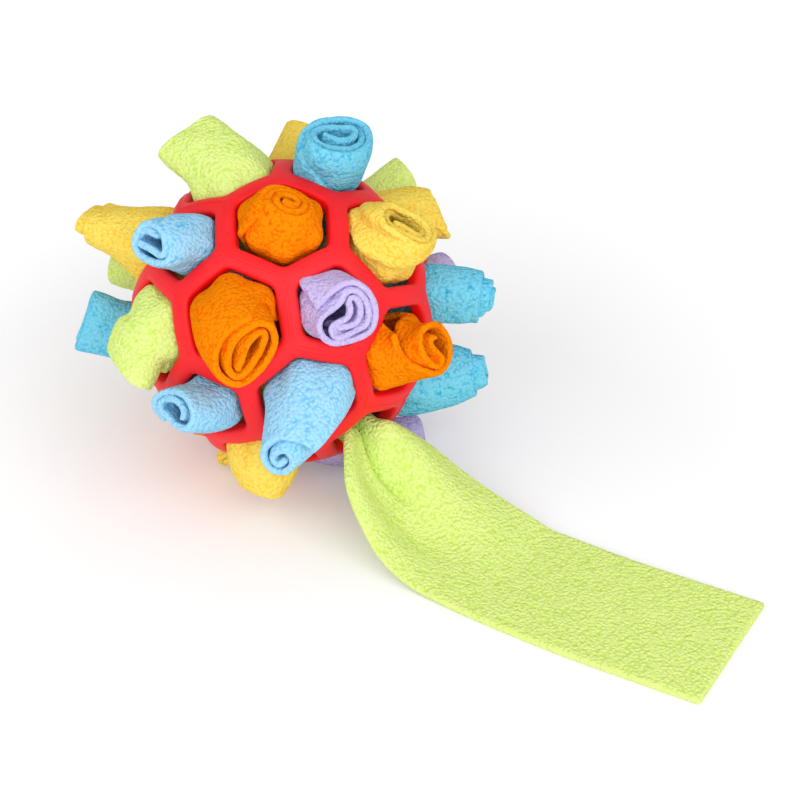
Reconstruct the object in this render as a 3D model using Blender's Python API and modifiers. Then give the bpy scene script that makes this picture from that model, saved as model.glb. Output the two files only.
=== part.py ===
"""Treat-hunting ball for a pet, at real size.

A hollow ball of soft red rubber is moulded with twelve pentagon and twenty hexagon holes,
laid out like the panels of a football.  A strip of fleece is rolled up and pushed into each
hole, with treats in its turns.  One strip has been pulled open and lies on the floor.

Lengths are metres and +Z is up.  The ball stands on the three rolls round its lowest corner,
and the origin is under the middle of the whole toy, at floor level.
"""
import math

import bmesh
import bpy
import numpy as np
from mathutils import Matrix, Quaternion, Vector

COLLECTION = "snuffle_ball"

# Rubber ball
BALL_RADIUS = 0.065
WALL = 0.006
RIB_WIDTH = 0.009
HOLE_CORNER_RADIUS = 0.0045
RIB_EDGE_ROUND = 0.0013
CORNER_RUN = 0.0058       # distance along a rib from its end to the start of the hole's corner
BALL_TURN = -147.7        # azimuth, in degrees, of the pentagon beside the lowest corner
MIDDLE_HEIGHT = 0.0725    # the ball's centre above the floor

# Fleece, cut in strips 65 mm wide and 210 mm long
FLEECE = 0.0028

# Rolled strips
HOLE_PLANE = 0.064        # distance from the ball's centre to the plane a roll is placed by
TAIL_DEPTH = 0.036        # how far a roll reaches inwards from that plane
SEAT_DEPTH = 0.005        # how far inside that plane the hole's wall squeezes it
TURNS = 2.5
STEPS = 26                # straight runs in one roll's winding
BAND_SHARE = 0.82         # share of each turn that is fleece, the rest being the gap
# A roll's radius at its tail and in its hole, and how much further it fills the hole's corners
PENTAGON_SEAT = {"tail": 0.0075, "seat": 0.0122, "corners": 0.11}
HEXAGON_SEAT = {"tail": 0.0096, "seat": 0.0172, "corners": 0.10}
CORE_SHARE = 0.13         # radius of the roll's open core, as a share of its own radius
FLOOR_CUT = 0.0005        # depth of the flat that the floor presses on the lowest rolls

# Colours of the rubber and of the fleece, as linear red, green and blue
COLOURS = {
    "red": (0.80, 0.045, 0.055),
    "orange": (1.0, 0.24, 0.01),
    "blue": (0.22, 0.55, 0.80),
    "lime": (0.52, 0.83, 0.14),
    "yellow": (1.0, 0.58, 0.08),
    "lilac": (0.50, 0.44, 0.80),
}

# One row for each rolled strip, from the top of the ball down: its number and colour; its
# hole's azimuth and elevation in degrees; how far it stands out, in metres; how it leans,
# across and up, in degrees; its radius half way out and at the tip, in metres; how flat the
# tip is pressed, as short side over long; and how far its long side is turned from level, in
# degrees.
ROLLS = [
    (1, "blue", 32, 70, 0.020, -15, 10, 0.0164, 0.0128, 0.85, 60),
    (2, "orange", -86, 66, 0.008, 19, 11, 0.0165, 0.0125, 0.90, 0),
    (3, "lime", 150, 66, 0.026, -17, -48, 0.0165, 0.0158, 0.45, -42),
    (4, "blue", -148, 47, 0.019, 17, -23, 0.0130, 0.0098, 0.85, 90),
    (5, "yellow", -20, 43, 0.014, 2, 9, 0.0155, 0.0125, 0.60, -80),
    (6, "yellow", 84, 43, 0.018, -5, -13, 0.0150, 0.0130, 0.80, 0),
    (7, "yellow", 32, 32, 0.0215, -40, -34, 0.0140, 0.0125, 0.60, 25),
    (8, "lilac", -65, 31, 0.012, 1, -18, 0.0143, 0.0138, 0.88, -30),
    (9, "orange", 129, 31, 0.0025, 0, -10, 0.0132, 0.0136, 0.90, 0),
    (10, "orange", -107, 27, 0.022, 50, -33, 0.0160, 0.0138, 0.75, 60),
    (11, "yellow", 172, 27, 0.031, -18, -20, 0.0150, 0.0140, 0.68, 0),
    (12, "blue", 0, 10, 0.0225, -8, -12, 0.0140, 0.0125, 0.85, 90),
    (13, "lime", 65, 10, 0.0335, -25, 25, 0.0140, 0.0105, 0.85, 0),
    (14, "lime", -148, 9, 0.0162, 22, -60, 0.0150, 0.0140, 0.60, 0),
    (15, "orange", -37, 4, 0.018, 3, 24, 0.0122, 0.0110, 0.86, 70),
    (16, "lilac", 102, 4, 0.025, 0, 10, 0.0155, 0.0145, 0.85, 30),
    (17, "blue", -78, -4, 0.0295, -36, -25, 0.0150, 0.0088, 0.85, 50),
    (18, "lime", 143, -4, 0.030, 28, 8, 0.0140, 0.0105, 0.85, 0),
    (19, "lilac", 32, -9, 0.0205, 2, 17, 0.0145, 0.0130, 0.85, 0),
    (20, "blue", -115, -10, 0.0195, -23, 33, 0.0138, 0.0120, 0.60, -20),
    (21, "blue", 180, -10, 0.024, 6, 26, 0.0134, 0.0145, 0.50, 110),
    (22, "blue", -8, -27, 0.030, 10, 37, 0.0150, 0.0118, 0.80, 80),
    (23, "yellow", 73, -27, 0.024, 0, 10, 0.0155, 0.0145, 0.85, 0),
    (24, "lilac", 115, -31, 0.022, 0, 15, 0.0140, 0.0135, 0.85, 0),
    (25, "orange", -148, -32, 0.0025, 0, 5, 0.0140, 0.0135, 0.90, 0),
    (26, "yellow", -96, -43, 0.0146, -13, -24, 0.0145, 0.0105, 0.85, 0),
    (27, "orange", 160, -43, 0.012, 0, 30, 0.0145, 0.0130, 0.85, 0),
    (28, "blue", 32, -47, 0.018, 0, 24, 0.0130, 0.0130, 0.80, 0),
    (29, "lilac", -30, -66, 0.036, 67, 55, 0.0115, 0.0088, 0.85, 0),
    (30, "lime", 95, -66, 0.018, 0, 58, 0.0150, 0.0150, 0.62, 0),
    (31, "yellow", -148, -70, 0.0175, 58, 52, 0.0095, 0.0115, 0.62, 0),
]

# The three rolls that the ball stands on
CARRYING_ROLLS = (29, 30, 31)

# The strip that has been pulled open: its hole, the way it lies, and its rows from the tail
# inside the ball to the far end.  Each row gives how far along it lies from the hole, how high
# its middle is, its width there, its shift sideways, the drop of its near edge, and the depth
# of its folds, in metres.
OPEN_STRIP_HOLE = (-51, -31)
OPEN_STRIP_HEADING = -32.0
OPEN_STRIP_ROWS = [
    (-0.018, 0.0415, 0.0190, 0.0015, 0.0000, 0.0025),
    (-0.005, 0.0415, 0.0195, 0.0010, 0.0000, 0.0025),
    (0.002, 0.0380, 0.0290, -0.0035, 0.0025, 0.0045),
    (0.009, 0.0330, 0.0430, -0.0060, 0.0075, 0.0065),
    (0.018, 0.0222, 0.0560, -0.0038, 0.0072, 0.0060),
    (0.030, 0.0121, 0.0620, -0.0037, 0.0070, 0.0040),
    (0.045, 0.0066, 0.0645, -0.0046, 0.0052, 0.0020),
    (0.062, 0.0038, 0.0650, -0.0052, 0.0024, 0.0006),
    (0.082, 0.0014, 0.0650, -0.0055, 0.0000, 0.0000),
    (0.112, 0.0014, 0.0650, -0.0052, 0.0000, 0.0000),
    (0.142, 0.0014, 0.0650, -0.0032, 0.0000, 0.0000),
    (0.170, 0.0014, 0.0650, -0.0010, 0.0000, 0.0000),
]
OPEN_STRIP_COLUMNS = 12
OPEN_STRIP_FOLDS = 1.5
OPEN_STRIP_VALLEY = -0.10  # where the fold between the two ridges is, as a share of the width


def axis_of(azimuth, elevation):
    """Unit vector for an azimuth and an elevation in degrees."""
    level = math.cos(math.radians(elevation))
    return Vector((level * math.cos(math.radians(azimuth)),
                   level * math.sin(math.radians(azimuth)),
                   math.sin(math.radians(elevation))))


def new_collection(name):
    collection = bpy.data.collections.new(name)
    bpy.context.scene.collection.children.link(collection)
    return collection


def soft_material(name, colour, roughness):
    """Matt material of one colour, made once for each name."""
    if name in bpy.data.materials:
        return bpy.data.materials[name]
    material = bpy.data.materials.new(name)
    material.use_nodes = True
    shader = material.node_tree.nodes["Principled BSDF"]
    shader.inputs["Base Color"].default_value = (*colour, 1.0)
    shader.inputs["Roughness"].default_value = roughness
    shader.inputs["Metallic"].default_value = 0.0
    material.diffuse_color = (*colour, 1.0)
    return material


def add_object(name, mesh, material, collection, parent):
    mesh.materials.append(material)
    mesh.shade_smooth()
    mesh.set_sharp_from_angle(angle=math.radians(40))
    part = bpy.data.objects.new(name, mesh)
    part.parent = parent
    collection.objects.link(part)
    return part


def ball_lattice():
    """Corners and panels of the football pattern, on a ball of radius 1.

    An icosahedron has its twelve corners cut off at a third of each edge.  It is then turned
    so that one of the new corners is lowest, with its pentagon at azimuth BALL_TURN.
    """
    lattice = bmesh.new()
    bmesh.ops.create_icosphere(lattice, subdivisions=1, radius=1.0)
    bmesh.ops.bevel(lattice, geom=lattice.verts[:], affect="VERTICES", offset=100.0 / 3.0,
                    offset_type="PERCENT", segments=1, profile=0.5)
    bmesh.ops.remove_doubles(lattice, verts=lattice.verts[:], dist=1e-5)
    lattice.normal_update()

    lowest = min(lattice.verts, key=lambda corner: (round(corner.co.z, 4), corner.co.x))
    tip = lowest.co.normalized().rotation_difference(Vector((0, 0, -1))).to_matrix().to_4x4()
    bmesh.ops.transform(lattice, matrix=tip, verts=lattice.verts[:])
    pentagon = next(face for face in lowest.link_faces if len(face.verts) == 5)
    middle = pentagon.calc_center_median()
    turn = math.radians(BALL_TURN) - math.atan2(middle.y, middle.x)
    bmesh.ops.transform(lattice, matrix=Matrix.Rotation(turn, 4, "Z"), verts=lattice.verts[:])

    panels = [[corner.co.normalized() for corner in face.verts] for face in lattice.faces]
    lattice.free()
    return panels


def panel_middle(panel):
    return sum(panel, Vector()).normalized()


def hole_edge(panel):
    """Points round one hole, three to each rounded corner, and the rib points behind them.

    A hole's sides run half a rib inside the panel's own sides.  The first and last point of
    a corner are where its arc meets the sides, and the middle one is half way round the arc.
    """
    corners = [corner * BALL_RADIUS for corner in panel]
    count = len(corners)
    half_angle = math.radians(90.0 - 180.0 / count)
    inset = 0.5 * RIB_WIDTH / math.sin(half_angle)
    run = HOLE_CORNER_RADIUS / math.tan(half_angle)
    arc_back = HOLE_CORNER_RADIUS / math.sin(half_angle) - HOLE_CORNER_RADIUS
    centre = sum(corners, Vector()) / count

    edge, rib = [], []
    for index, corner in enumerate(corners):
        back = (corners[index - 1] - corner).normalized()
        ahead = (corners[(index + 1) % count] - corner).normalized()
        inwards = (centre - corner).normalized()
        hole_corner = corner + inwards * inset
        edge += [hole_corner + back * run, hole_corner + inwards * arc_back, hole_corner + ahead * run]
        rib += [corner + back * CORNER_RUN, corner, corner + ahead * CORNER_RUN]
    on_ball = [[point.normalized() * BALL_RADIUS for point in ring] for ring in (edge, rib)]
    return on_ball[0], on_ball[1]


def make_ball(panels, collection, parent):
    """Rib network on the ball's surface, thickened inwards, with the outer rims rounded."""
    net = bmesh.new()
    for panel in panels:
        edge, rib = hole_edge(panel)
        inner = [net.verts.new(point) for point in edge]
        outer = [net.verts.new(point) for point in rib]
        for index in range(len(inner)):
            after = (index + 1) % len(inner)
            net.faces.new((inner[after], inner[index], outer[index], outer[after]))
    bmesh.ops.remove_doubles(net, verts=net.verts[:], dist=1e-6)
    bmesh.ops.recalc_face_normals(net, faces=net.faces[:])
    some_face = net.faces[:][0]
    if some_face.normal.dot(some_face.calc_center_median()) < 0:
        bmesh.ops.reverse_faces(net, faces=net.faces[:])
    bmesh.ops.solidify(net, geom=net.faces[:], thickness=WALL)
    rims = [e for e in net.edges if abs(e.calc_face_angle(0.0)) > math.radians(60)
            and min(v.co.length for v in e.verts) > BALL_RADIUS - 0.5 * WALL]
    bmesh.ops.bevel(net, geom=rims, affect="EDGES", offset=RIB_EDGE_ROUND, offset_type="OFFSET",
                    segments=2, profile=0.5, clamp_overlap=True)
    bmesh.ops.recalc_face_normals(net, faces=net.faces[:])

    mesh = bpy.data.meshes.new("rubber_ball")
    net.to_mesh(mesh)
    net.free()
    rubber = soft_material("red_rubber", COLOURS["red"], 0.45)
    return add_object("rubber_ball", mesh, rubber, collection, parent)


def winding_angles(core, rim):
    """Angles along a winding from core to rim, closer together where the radius is larger."""
    whole = 2.0 * math.pi * TURNS
    growth = (rim - core) / whole
    run = core * whole + 0.5 * growth * whole ** 2
    lengths = np.linspace(0.0, run, STEPS + 1)
    return (np.sqrt(core ** 2 + 2.0 * growth * lengths) - core) / growth


def winding_outline(radius, flatness, angles):
    """Closed outline of a rolled band: up its outer side and back down its inner side.

    The band's inner side is at core + pitch * angle / 2 pi, and its outer side is BAND_SHARE
    of a pitch further out, so the last turn ends at the roll's own radius.
    """
    core = CORE_SHARE * radius
    pitch = (radius - core) / (TURNS + BAND_SHARE)
    inner = core + pitch * angles / (2.0 * math.pi)
    outer = inner + BAND_SHARE * pitch
    lengths = np.concatenate((outer, inner[::-1]))
    around = np.concatenate((angles, angles[::-1])) - angles[-1]
    return np.stack((lengths * np.cos(around), flatness * lengths * np.sin(around)), axis=1)


def loft(name, sections):
    """Closed mesh through outlines of equal counts, whose two ends are strips of quads."""
    count = len(sections[0])
    half = count // 2
    points = np.concatenate(sections)
    faces = []
    for row in range(len(sections) - 1):
        low, high = row * count, (row + 1) * count
        for index in range(count):
            after = (index + 1) % count
            faces.append((low + index, low + after, high + after, high + index))
    last = (len(sections) - 1) * count
    for index in range(half - 1):
        mate = count - 1 - index
        faces.append((index + 1, index, mate, mate - 1))
        faces.append((last + index, last + index + 1, last + mate - 1, last + mate))
    mesh = bpy.data.meshes.new(name)
    mesh.from_pydata(points.tolist(), [], faces)
    tidy = bmesh.new()
    tidy.from_mesh(mesh)
    bmesh.ops.recalc_face_normals(tidy, faces=tidy.faces[:])
    tidy.to_mesh(mesh)
    tidy.free()
    return mesh


def fill_corners(outline, corner, count, share):
    """Push a round outline out by that share towards each corner of its hole.

    The push is share * (1 + cos(count * angle)) / 2, with the angle measured from one corner.
    """
    angle = np.arctan2(outline[:, 1], outline[:, 0]) - math.atan2(corner.y, corner.x)
    return outline * (1.0 + 0.5 * share * (1.0 + np.cos(count * angle)))[:, None]


def make_roll(row, panels, collection, parent):
    """One rolled strip, placed on its hole's axis with local +Z pointing out of the ball.

    Its sections are the squeezed tail inside the ball, the seat that fills the hole, the
    roll half way out, and the tip.  Outside the hole the roll bends over: its middle line is
    a Hermite curve that leaves along the hole's axis and ends along the lean.
    """
    (number, colour, azimuth, elevation, stand_out, across, up, half_way_radius, tip_radius,
     flatness, turned) = row
    panel = min(panels, key=lambda p: -panel_middle(p).dot(axis_of(azimuth, elevation)))
    seat = PENTAGON_SEAT if len(panel) == 5 else HEXAGON_SEAT
    direction = panel_middle(panel)
    level = Vector((0, 0, 1)).cross(direction).normalized()
    placing = Matrix((level, direction.cross(level), direction)).transposed()

    axis = Vector((0, 0, 1))
    lean = Vector((math.tan(math.radians(across)), math.tan(math.radians(up)), 1.0)).normalized()
    tilt = axis.rotation_difference(lean)
    spin = Matrix.Rotation(math.radians(turned), 3, "Z")
    start, end = -SEAT_DEPTH * axis, stand_out * lean
    half_way = 0.5 * (start + end) + 0.125 * (end - start).length * (axis - lean)
    angles = winding_angles(CORE_SHARE * tip_radius, tip_radius)
    sections = []
    for middle, turn, radius, flat, corners in (
            (-TAIL_DEPTH * axis, Quaternion(), seat["tail"], 1.0, 0.0),
            (start, Quaternion(), seat["seat"], 1.0, seat["corners"]),
            (half_way, Quaternion().slerp(tilt, 0.5), half_way_radius, 0.5 * (1.0 + flatness), 0.0),
            (end, tilt, tip_radius, flatness, 0.0)):
        outline = winding_outline(radius, flat, angles) @ np.array(spin.to_2x2().transposed())
        outline = fill_corners(outline, placing.transposed() @ panel[0], len(panel), corners)
        sides = np.array(turn.to_matrix().transposed())[:2]
        sections.append(outline @ sides + np.array(middle))

    name = f"fleece_roll_{number:02d}_{colour}"
    fleece = soft_material(f"{colour}_fleece", COLOURS[colour], 0.95)
    roll = add_object(name, loft(name, sections), fleece, collection, parent)
    roll.matrix_basis = Matrix.Translation(direction * HOLE_PLANE) @ placing.to_4x4()
    return roll


def smooth_rows(rows, steps):
    """Rows read from a smooth curve through the given rows, steps to each gap.

    Between two rows the curve is the Catmull-Rom cubic of the four rows round the gap.
    """
    rows = np.array(rows)
    padded = np.concatenate((2 * rows[:1] - rows[1:2], rows, 2 * rows[-1:] - rows[-2:-1]))
    smooth = []
    for index in range(len(rows) - 1):
        a, b, c, d = padded[index:index + 4]
        for t in np.arange(steps) / steps:
            smooth.append(0.5 * (2 * b + (c - a) * t + (2 * a - 5 * b + 4 * c - d) * t ** 2
                                 + (3 * b - a - 3 * c + d) * t ** 3))
    smooth.append(rows[-1])
    return np.array(smooth)


def make_open_strip(panels, collection, parent):
    """The pulled-open strip: a sheet of fleece over its rows, thickened to both sides.

    Across a row the sheet is level from edge to edge, apart from the drop of its near edge
    and a wave of OPEN_STRIP_FOLDS folds with a valley at OPEN_STRIP_VALLEY, which is
    deepest where the strip is bunched.
    """
    direction = max((panel_middle(p) for p in panels),
                    key=lambda middle: middle.dot(axis_of(*OPEN_STRIP_HOLE)))
    hole = np.array(direction * HOLE_PLANE) + np.array((0, 0, MIDDLE_HEIGHT))
    heading = np.array(axis_of(OPEN_STRIP_HEADING, 0.0))
    sideways = np.array(axis_of(OPEN_STRIP_HEADING + 90.0, 0.0))

    across = np.linspace(-0.5, 0.5, OPEN_STRIP_COLUMNS + 1)
    points = []
    for along, height, width, shift, drop, fold in smooth_rows(OPEN_STRIP_ROWS, 2):
        wave = -fold * np.cos(2.0 * math.pi * OPEN_STRIP_FOLDS * (across - OPEN_STRIP_VALLEY))
        level = height + wave + 2.0 * drop * across
        for side, lift in zip(across * width + shift, level):
            spot = hole + heading * along + sideways * side
            points.append((spot[0], spot[1], max(lift, 0.5 * FLEECE)))
    columns = OPEN_STRIP_COLUMNS + 1
    rows = len(points) // columns
    faces = [(r * columns + c, r * columns + c + 1, (r + 1) * columns + c + 1, (r + 1) * columns + c)
             for r in range(rows - 1) for c in range(OPEN_STRIP_COLUMNS)]
    mesh = bpy.data.meshes.new("open_fleece_strip")
    mesh.from_pydata((np.array(points) - (0, 0, MIDDLE_HEIGHT)).tolist(), [], faces)
    fleece = soft_material("lime_fleece", COLOURS["lime"], 0.95)
    strip = add_object("open_fleece_strip", mesh, fleece, collection, parent)
    cloth = strip.modifiers.new("cloth thickness", "SOLIDIFY")
    cloth.thickness = FLEECE
    cloth.offset = 0.0
    return strip


def add_floor_cutter(parent):
    """Block whose top is the floor, to press the lowest rolls flat."""
    cutters = new_collection("cutters")
    size = 4.0 * BALL_RADIUS
    bpy.ops.mesh.primitive_cube_add(size=size, location=(0, 0, -MIDDLE_HEIGHT - 0.5 * size))
    block = bpy.context.active_object
    block.name = "floor_cutter"
    for owner in block.users_collection:
        owner.objects.unlink(block)
    cutters.objects.link(block)
    block.parent = parent
    block.hide_render = True
    block.display_type = "WIRE"
    return block


def press_flat(roll, block):
    """Rest a roll's tip FLOOR_CUT below the floor and cut it off level with the floor."""
    tip = roll.data.vertices[3 * len(roll.data.vertices) // 4:]
    lowest = min((roll.matrix_basis @ vertex.co).z for vertex in tip)
    lift = -MIDDLE_HEIGHT - FLOOR_CUT - lowest
    rise = roll.matrix_basis.to_3x3().inverted() @ Vector((0, 0, lift))
    for vertex in tip:
        vertex.co += rise
    cut = roll.modifiers.new("pressed by the floor", "BOOLEAN")
    cut.operation = "DIFFERENCE"
    cut.solver = "EXACT"
    cut.object = block


def stand_over_origin(parts, middle):
    """Move the toy so that the middle of its footprint is over the origin."""
    bpy.context.view_layer.update()
    graph = bpy.context.evaluated_depsgraph_get()
    lows, highs = [], []
    for part in parts:
        shape = part.evaluated_get(graph)
        mesh = shape.to_mesh()
        spots = np.array([shape.matrix_world @ vertex.co for vertex in mesh.vertices])
        lows.append(spots.min(axis=0))
        highs.append(spots.max(axis=0))
        shape.to_mesh_clear()
    low, high = np.min(lows, axis=0), np.max(highs, axis=0)
    middle.location.x -= 0.5 * (low[0] + high[0])
    middle.location.y -= 0.5 * (low[1] + high[1])


def build():
    for old in list(bpy.data.objects):
        bpy.data.objects.remove(old, do_unlink=True)
    collection = new_collection(COLLECTION)
    middle = bpy.data.objects.new("ball_middle", None)
    middle.location = (0, 0, MIDDLE_HEIGHT)
    collection.objects.link(middle)

    panels = ball_lattice()
    parts = [make_ball(panels, collection, middle)]
    block = add_floor_cutter(middle)
    for row in ROLLS:
        roll = make_roll(row, panels, collection, middle)
        if row[0] in CARRYING_ROLLS:
            press_flat(roll, block)
        parts.append(roll)
    parts.append(make_open_strip(panels, collection, middle))
    stand_over_origin(parts, middle)


build()
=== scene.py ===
"""Looks of the snuffle ball: a soft rubber ball stuffed with rolled fleece strips."""
import math

import bpy
import numpy as np
from mathutils import Matrix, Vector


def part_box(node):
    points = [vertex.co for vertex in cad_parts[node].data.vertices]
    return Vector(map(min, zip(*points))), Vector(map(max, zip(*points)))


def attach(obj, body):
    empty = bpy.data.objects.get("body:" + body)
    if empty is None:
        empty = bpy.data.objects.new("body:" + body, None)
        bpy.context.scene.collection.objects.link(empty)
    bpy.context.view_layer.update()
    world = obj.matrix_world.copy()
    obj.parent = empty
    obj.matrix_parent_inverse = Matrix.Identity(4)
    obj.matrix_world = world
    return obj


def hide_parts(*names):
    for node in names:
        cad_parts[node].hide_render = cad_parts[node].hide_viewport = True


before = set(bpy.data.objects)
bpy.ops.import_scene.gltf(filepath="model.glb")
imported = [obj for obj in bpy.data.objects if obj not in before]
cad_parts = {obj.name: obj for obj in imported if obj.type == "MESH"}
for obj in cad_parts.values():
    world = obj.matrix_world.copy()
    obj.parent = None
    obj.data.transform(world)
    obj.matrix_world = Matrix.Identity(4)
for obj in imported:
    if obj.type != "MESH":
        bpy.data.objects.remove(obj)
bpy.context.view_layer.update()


# Camera, on the photograph's viewpoint.  It looks down at the ball from the front, from
# 0.7 m away, with a long lens and no shift.
ball_middle = np.array(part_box("rubber_ball")).mean(axis=0)
CAMERA_FROM_BALL = np.array((0.0458, -0.5930, 0.3572))
CAMERA_PITCH = 34.14
CAMERA_YAW = 0.37
CAMERA_ROLL = 0.66
CAMERA_LENS = 72.56       # millimetres, on a sensor 36 mm wide
camera_data = bpy.data.cameras.new("camera")
camera_data.sensor_width = 36.0
camera_data.lens = CAMERA_LENS
camera = bpy.data.objects.new("camera", camera_data)
bpy.context.scene.collection.objects.link(camera)
camera.matrix_world = (Matrix.Translation((ball_middle + CAMERA_FROM_BALL).tolist())
                       @ Matrix.Rotation(math.radians(-CAMERA_YAW), 4, "Z")
                       @ Matrix.Rotation(math.radians(90.0 - CAMERA_PITCH), 4, "X")
                       @ Matrix.Rotation(math.radians(CAMERA_ROLL), 4, "Z"))
bpy.context.scene.camera = camera


# Rubber ball, moulded in one piece of soft red rubber.  Its ribs follow a football pattern,
# with flat outer faces, full round rims at every hole, and the mould's thin parting line.
BALL_RADIUS = 0.065
WALL = 0.006
RIB_WIDTH = 0.009
HOLE_CORNER_RADIUS = 0.0045
CORNER_RUN = 0.0058       # distance along a rib from its end to the start of the hole's corner
OUTER_ROUND = 0.0017
INNER_ROUND = 0.0010
RIB_CROWN = 0.00025       # how much lower the outer face is at its rim than in its middle
BALL_TURN = -147.7        # azimuth of the pentagon beside the lowest corner
MOULD_AXIS = (32.3, 32.5)  # azimuth and elevation that the two halves of the mould open along
MERGE_DISTANCE = 1e-6     # points nearer than this, where two panels meet, become one
# The parting line: its height and how wide it spreads, how far it lies from the rib's middle,
# and over what share of a rib's side it joins the next rib's.
FLASH = {"height": 0.00030, "spread": 0.00022, "offset": 0.0006, "join": 0.12}


def direction_of(azimuth, elevation):
    """Unit vector for an azimuth and an elevation in degrees."""
    azimuth, elevation = np.radians(azimuth), np.radians(elevation)
    return np.array((np.cos(elevation) * np.cos(azimuth), np.cos(elevation) * np.sin(azimuth),
                     np.sin(elevation)))


def football_panels():
    """Rings of corners of the 32 panels, on a ball of radius 1.

    The twelve corners of an icosahedron lie at (0, +-1, +-g) and the turns of that, with g the
    golden ratio.  Cutting each edge in three gives the football's corners: five round each old
    corner make a pentagon and six on each old face make a hexagon.  All are then turned so
    that one corner points straight down.
    """
    golden = 0.5 * (1.0 + math.sqrt(5.0))
    old = np.array([np.roll((0.0, a, b * golden), turn)
                    for turn in range(3) for a in (-1, 1) for b in (-1, 1)])
    near = [[j for j in range(12) if abs(np.linalg.norm(old[i] - old[j]) - 2.0) < 0.01]
            for i in range(12)]
    rings = [[2 * old[i] + old[j] for j in near[i]] for i in range(12)]
    rings += [[2 * old[a] + old[b] for a in face for b in face if a != b]
              for face in ((i, j, k) for i in range(12) for j in near[i] for k in near[j]
                           if i < j < k and k in near[i])]

    panels = []
    for ring in rings:
        ring = np.array(ring)
        middle = ring.mean(axis=0) / np.linalg.norm(ring.mean(axis=0))
        across = ring[0] - middle * (ring[0] @ middle)
        angles = np.arctan2(ring @ np.cross(middle, across), ring @ across)
        ring = ring[np.argsort(angles)]
        panels.append(ring / np.linalg.norm(ring, axis=1)[:, None])

    lowest = panels[0][0]
    aside = panels[0].mean(axis=0)
    aside -= lowest * (aside @ lowest)
    aside /= np.linalg.norm(aside)
    source = np.stack((aside, np.cross(-lowest, aside), -lowest))
    level = direction_of(BALL_TURN, 0.0)
    target = np.stack((level, np.cross((0, 0, 1), level), (0, 0, 1)))
    return [panel @ source.T @ target for panel in panels]


def hole_outline(panel, arc_steps, straight_steps):
    """Matching points on the rib's middle line and on the hole's edge, round one panel.

    Along a side of length L the middle line is (s, 0).  The hole's edge is half a rib inside
    it, with an arc of HOLE_CORNER_RADIUS at each end.  The first CORNER_RUN of the side
    matches half of the arc.  Both lines are then pushed out on to the ball.
    """
    corners = panel * BALL_RADIUS
    count = len(corners)
    side = np.linalg.norm(corners[1] - corners[0])
    half = math.pi / 2 - math.pi / count
    start = 0.5 * RIB_WIDTH / math.tan(half) + HOLE_CORNER_RADIUS / math.tan(half)
    q = np.linspace(0.0, 1.0, arc_steps + 1)
    swing = (math.pi + half) + q * (math.pi / 2 - half)
    arc = np.stack((start + HOLE_CORNER_RADIUS * np.cos(swing),
                    0.5 * RIB_WIDTH + HOLE_CORNER_RADIUS * (1 + np.sin(swing))), axis=1)
    straight = np.linspace(0.0, 1.0, straight_steps + 1)[1:-1]
    edge = np.concatenate((
        arc,
        np.stack((start + straight * (side - 2 * start), np.full(len(straight), 0.5 * RIB_WIDTH)), axis=1),
        (arc * (-1, 1) + (side, 0))[::-1][:-1]))
    rib = np.concatenate((q * CORNER_RUN, CORNER_RUN + straight * (side - 2 * CORNER_RUN),
                          side - (q * CORNER_RUN)[::-1][:-1]))

    ribs, edges = [], []
    middle = corners.mean(axis=0)
    for corner, after in zip(corners, np.roll(corners, -1, axis=0)):
        along = (after - corner) / side
        inward = middle - corner
        inward = inward - along * (inward @ along)
        inward /= np.linalg.norm(inward)
        ribs.append(corner + rib[:, None] * along)
        edges.append(corner + edge[:, :1] * along + edge[:, 1:] * inward)
    ribs, edges = np.concatenate(ribs), np.concatenate(edges)
    return (ribs / np.linalg.norm(ribs, axis=1)[:, None],
            edges / np.linalg.norm(edges, axis=1)[:, None])


def rib_profile():
    """Half of a rib's section, as rows of (share of the way to the hole, step, radius).

    A point lies at share of the way from the middle line to the hole's edge, plus step, in
    metres.  The section runs over the crowned outer face, with close rows for the mould's
    parting line, round the outer rim, down the hole's wall, round the inner rim and back
    under the rib.
    """
    rows = [(0.0, x, BALL_RADIUS) for x in (0.0, 0.0003, 0.0006, 0.0009, 0.0013)]
    part_way = 0.42
    rows.append((part_way, 0.0, BALL_RADIUS - RIB_CROWN * part_way ** 2))
    low = BALL_RADIUS - RIB_CROWN
    for swing in np.linspace(0.0, math.pi / 2, 6):
        rows.append((1.0, -OUTER_ROUND * (1 - math.sin(swing)), low - OUTER_ROUND * (1 - math.cos(swing))))
    rows.append((1.0, 0.0, BALL_RADIUS - 0.6 * WALL))
    for swing in np.linspace(0.0, math.pi / 2, 4):
        rows.append((1.0, -INNER_ROUND * (1 - math.cos(swing)),
                     BALL_RADIUS - WALL + INNER_ROUND * (1 - math.sin(swing))))
    rows += [(0.4, 0.0, BALL_RADIUS - WALL), (0.0, 0.0, BALL_RADIUS - WALL)]
    return np.array(rows)


def mesh_from_grid(name, points, faces):
    """Mesh of the points that the faces use, and which of the points those are."""
    used, faces = np.unique(faces, return_inverse=True)
    mesh = bpy.data.meshes.new(name)
    mesh.from_pydata(points[used], [], faces.reshape(-1, 4))
    mesh.shade_smooth()
    return mesh, used


def make_piece(name, mesh, material):
    """Object at the origin that shows a mesh in one material."""
    piece = bpy.data.objects.new(name, mesh)
    mesh.materials.append(material)
    bpy.context.scene.collection.objects.link(piece)
    return piece


def new_material(name):
    """Material with its node tree and its shader."""
    material = bpy.data.materials.new(name)
    material.use_nodes = True
    return material, material.node_tree, material.node_tree.nodes["Principled BSDF"]


def feed(tree, node, sources):
    """Give each named input of a node its source: another node's output, or a plain value."""
    for socket, source in sources.items():
        if isinstance(source, bpy.types.NodeSocket):
            tree.links.new(source, node.inputs[socket])
        else:
            node.inputs[socket].default_value = source


def add_node(tree, kind, sources=None, **settings):
    """New node of a kind, with its settings made and its inputs fed."""
    node = tree.nodes.new(kind)
    for setting, value in settings.items():
        setattr(node, setting, value)
    feed(tree, node, sources or {})
    return node


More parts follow.
